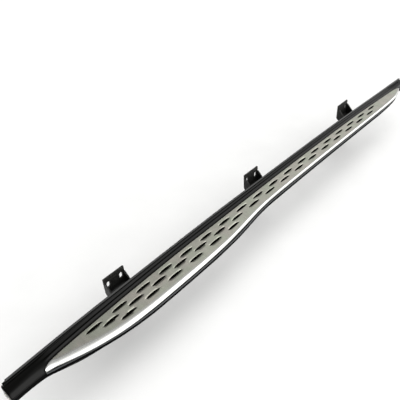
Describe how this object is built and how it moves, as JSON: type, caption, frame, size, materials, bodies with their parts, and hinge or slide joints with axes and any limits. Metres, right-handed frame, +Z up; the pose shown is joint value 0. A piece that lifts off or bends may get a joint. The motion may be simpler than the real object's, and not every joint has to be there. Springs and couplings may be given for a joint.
{
  "type": "running board",
  "caption": "Fixed right-hand running board: curved aluminium tread plate with rubber-filled oval openings on a black plastic body, rail and steel brackets.",
  "frame": {"origin": "centre of the bolting face of the middle bracket, midway between its two slots", "axes": "+X towards the front of the vehicle, +Y towards the vehicle, out of the bolting faces, +Z up"},
  "size_m": [1.9554, 0.1668, 0.0797],
  "materials": {
    "satin_aluminium": "satin brushed plate, nearly white rolled edge",
    "mill_aluminium": "mill finish extrusion",
    "mat_rubber": "dull black with a faint warm tone",
    "seal_rubber": "black, slightly shiny",
    "satin_plastic": "black, satin with soft sheen",
    "rough_plastic": "black, fine grain",
    "grey_trim": "dark grey, semi gloss",
    "coated_steel": "black powder coat",
    "zinc_steel": "zinc plated"
  },
  "bodies": {
    "root": {"tread_plate": "satin_aluminium", "rubber_mat": "mat_rubber", "upper_shell": "satin_plastic", "outer_trim_strip": "grey_trim", "lip_seal": "seal_rubber", "lower_cover": "rough_plastic", "rear_end_cap": "satin_plastic", "front_end_cap": "satin_plastic", "carrier_rail": "mill_aluminium", "rear_bracket": "coated_steel", "rear_bracket_pad": "seal_rubber", "rear_t_bolt_1": "zinc_steel", "rear_flange_nut_1": "zinc_steel", "rear_t_bolt_2": "zinc_steel", "rear_flange_nut_2": "zinc_steel", "middle_bracket": "coated_steel", "middle_bracket_pad": "seal_rubber", "middle_t_bolt_1": "zinc_steel", "middle_flange_nut_1": "zinc_steel", "middle_t_bolt_2": "zinc_steel", "middle_flange_nut_2": "zinc_steel", "front_bracket": "coated_steel", "front_bracket_pad": "seal_rubber", "front_t_bolt_1": "zinc_steel", "front_flange_nut_1": "zinc_steel", "front_t_bolt_2": "zinc_steel", "front_flange_nut_2": "zinc_steel", "rail_screw_1": "zinc_steel", "cover_screw_1": "zinc_steel", "plate_push_nut_1": "zinc_steel", "rail_screw_2": "zinc_steel", "cover_screw_2": "zinc_steel", "plate_push_nut_2": "zinc_steel", "rail_screw_3": "zinc_steel", "cover_screw_3": "zinc_steel", "plate_push_nut_3": "zinc_steel", "rail_screw_4": "zinc_steel", "cover_screw_4": "zinc_steel", "plate_push_nut_4": "zinc_steel", "rail_screw_5": "zinc_steel", "cover_screw_5": "zinc_steel", "plate_push_nut_5": "zinc_steel", "rail_screw_6": "zinc_steel", "cover_screw_6": "zinc_steel", "plate_push_nut_6": "zinc_steel", "rear_cap_screw_1": "zinc_steel", "front_cap_screw_1": "zinc_steel", "rear_cap_screw_2": "zinc_steel", "front_cap_screw_2": "zinc_steel"}
  },
  "joints": []
}
